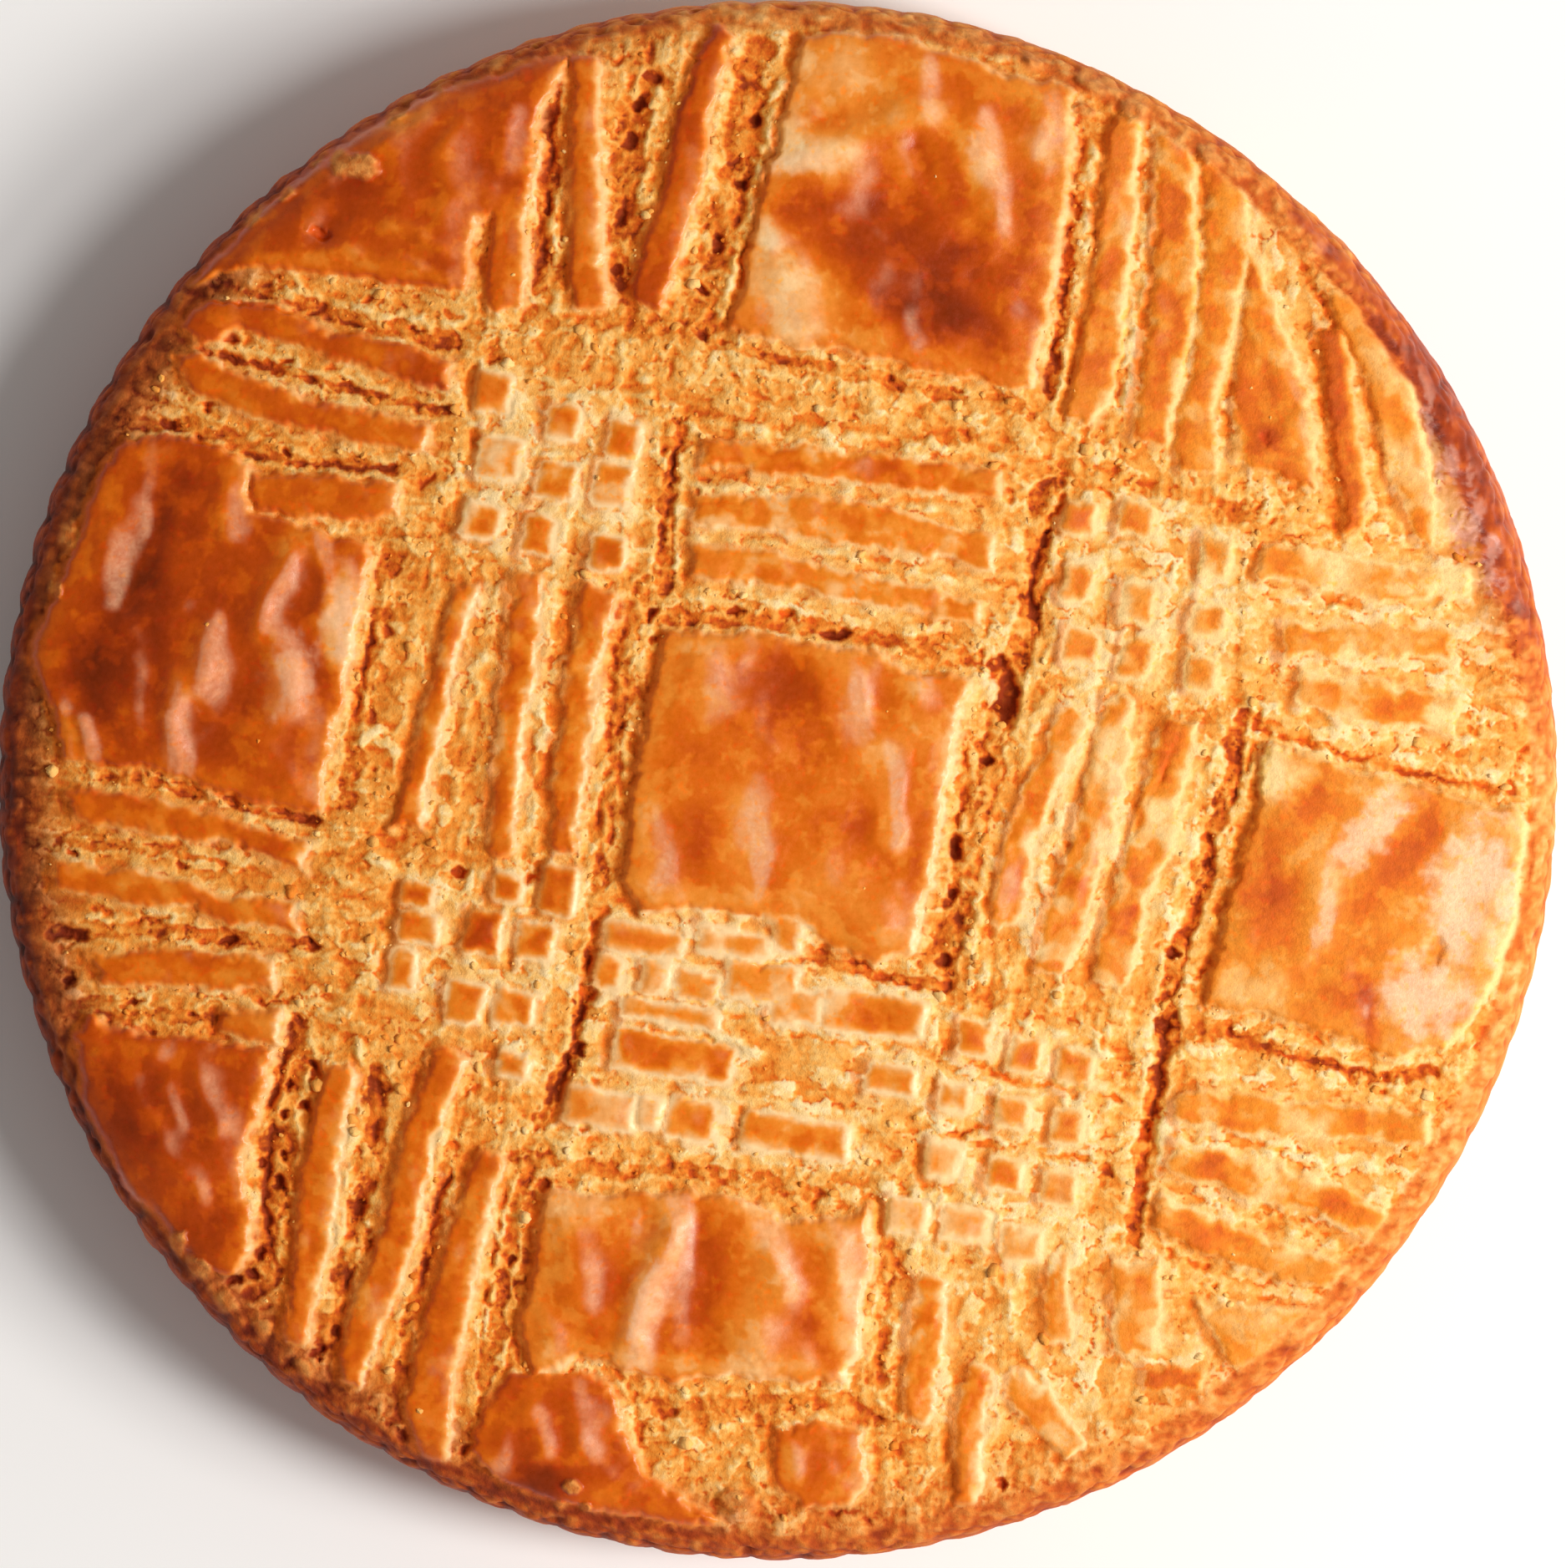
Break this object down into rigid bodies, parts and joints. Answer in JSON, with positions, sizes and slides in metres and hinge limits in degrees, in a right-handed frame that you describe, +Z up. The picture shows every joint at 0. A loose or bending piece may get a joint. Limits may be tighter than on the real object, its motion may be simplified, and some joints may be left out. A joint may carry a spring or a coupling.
{
  "type": "breton butter cake",
  "caption": "Round butter cake with a glazed golden top marked by crossing fork strokes and a browned fluted side.",
  "frame": {"origin": "middle of the flat underside", "axes": "+Z up out of the marked top; +X to the right and +Y to the back of the top as the picture shows it"},
  "size_m": [0.18, 0.18, 0.031],
  "materials": {
    "crust": "egg-glazed golden brown crust, glossy on the raised patches and matt and crumbly in the grooves"
  },
  "bodies": {
    "root": {"cake": "crust"}
  },
  "joints": []
}
